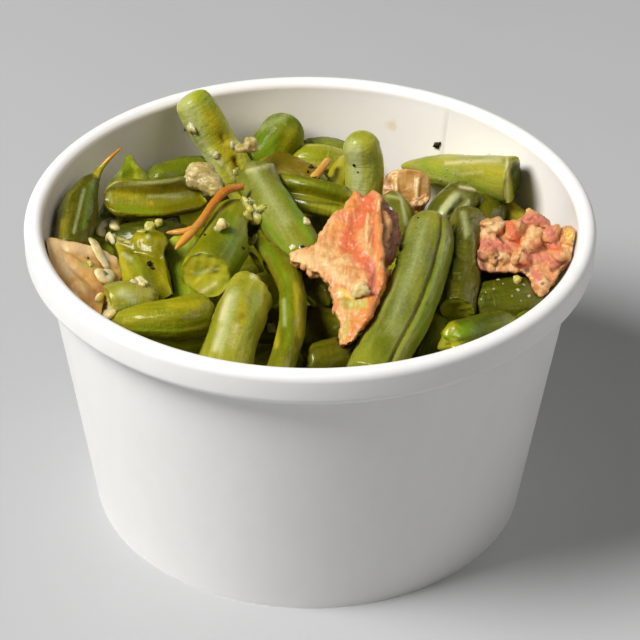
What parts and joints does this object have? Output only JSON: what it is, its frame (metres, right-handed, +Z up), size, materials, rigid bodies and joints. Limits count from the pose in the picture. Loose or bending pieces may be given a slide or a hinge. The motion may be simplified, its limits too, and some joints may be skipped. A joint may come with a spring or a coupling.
{
  "type": "paper food cup filled with cut green beans",
  "caption": "Round white paper food cup with a rolled lip, filled with cooked cut green beans, chopped ham, onion, a shred of carrot and bits of garlic.",
  "frame": {"origin": "centre of the cup's base, on the surface that it stands on", "axes": "+Z is up along the cup's axis; +X is to the right and -Y towards a viewer in front"},
  "size_m": [0.096, 0.096, 0.0589],
  "materials": {
    "paper_white": "smooth white board with a thin moisture-proof coating, satin",
    "bean_green": "wet cooked green bean skin, glossy, mottled mid green",
    "bean_olive": "wet cooked green bean skin, glossy, olive to yellow-green",
    "bean_dark": "wet cooked green bean skin, glossy, dark green",
    "pod_inside": "pale olive inside of a split pod, moist",
    "ham": "torn cooked ham, moist, peach fat and salmon fibres",
    "onion": "stewed onion, translucent brown, wet",
    "carrot": "cooked carrot shred, orange, moist",
    "garlic": "chopped cooked garlic, cream, moist"
  },
  "bodies": {
    "root": {"cup_sidewall": "paper_white", "cup_bottom": "paper_white", "garlic_crumb_large": "garlic", "garlic_crumb_back": "garlic", "garlic_crumb_middle": "garlic", "ham_flake": "ham", "ham_pile_right": "ham", "onion_piece_left": "onion", "onion_piece_back": "onion", "ham_bits_back": "ham", "carrot_shred": "carrot", "carrot_shred_small": "carrot", "bean_leaning_back": "bean_olive", "bean_centre": "bean_green", "bean_grooved_front": "bean_green", "bean_upright": "bean_green", "bean_right_long": "bean_olive", "pod_strip_front": "pod_inside", "bean_front_left": "bean_green", "pod_half_left": "pod_inside", "bean_left_tailed": "bean_dark", "bean_left_cut_open": "bean_dark", "bean_left_ragged": "bean_olive", "bean_left_pale_end": "bean_olive", "bean_front_left_long": "bean_olive", "pod_split_centre": "bean_green", "bean_right_upright": "bean_dark", "bean_right_upper": "bean_dark", "bean_right_behind": "bean_dark", "bean_back_end": "bean_green", "bean_left_stub": "bean_dark", "bean_behind_ham": "bean_green", "bean_flat_back": "bean_olive", "bean_back_middle": "bean_olive", "bean_back_small": "bean_dark", "bean_back_dark": "bean_dark", "bean_back_left": "bean_dark", "bean_left_behind": "bean_olive", "bean_left_low": "bean_green", "bean_right_front": "bean_dark", "bean_front_right_cut": "bean_olive", "bean_front_low": "bean_olive", "bean_right_shadow": "bean_dark", "bean_front_left_under": "bean_dark", "bean_under_ham": "bean_dark", "bean_under_front": "bean_dark", "bean_under_right": "bean_dark", "bean_under_pile": "bean_dark", "bean_wall_front_left": "bean_dark", "bean_wall_front": "bean_dark", "bean_wall_front_right": "bean_dark", "bean_under_left": "bean_dark", "hidden_beans_layer_4": "bean_dark", "hidden_beans_layer_3": "bean_dark", "hidden_beans_layer_2": "bean_dark", "hidden_beans_layer_1": "bean_dark"}
  },
  "joints": []
}
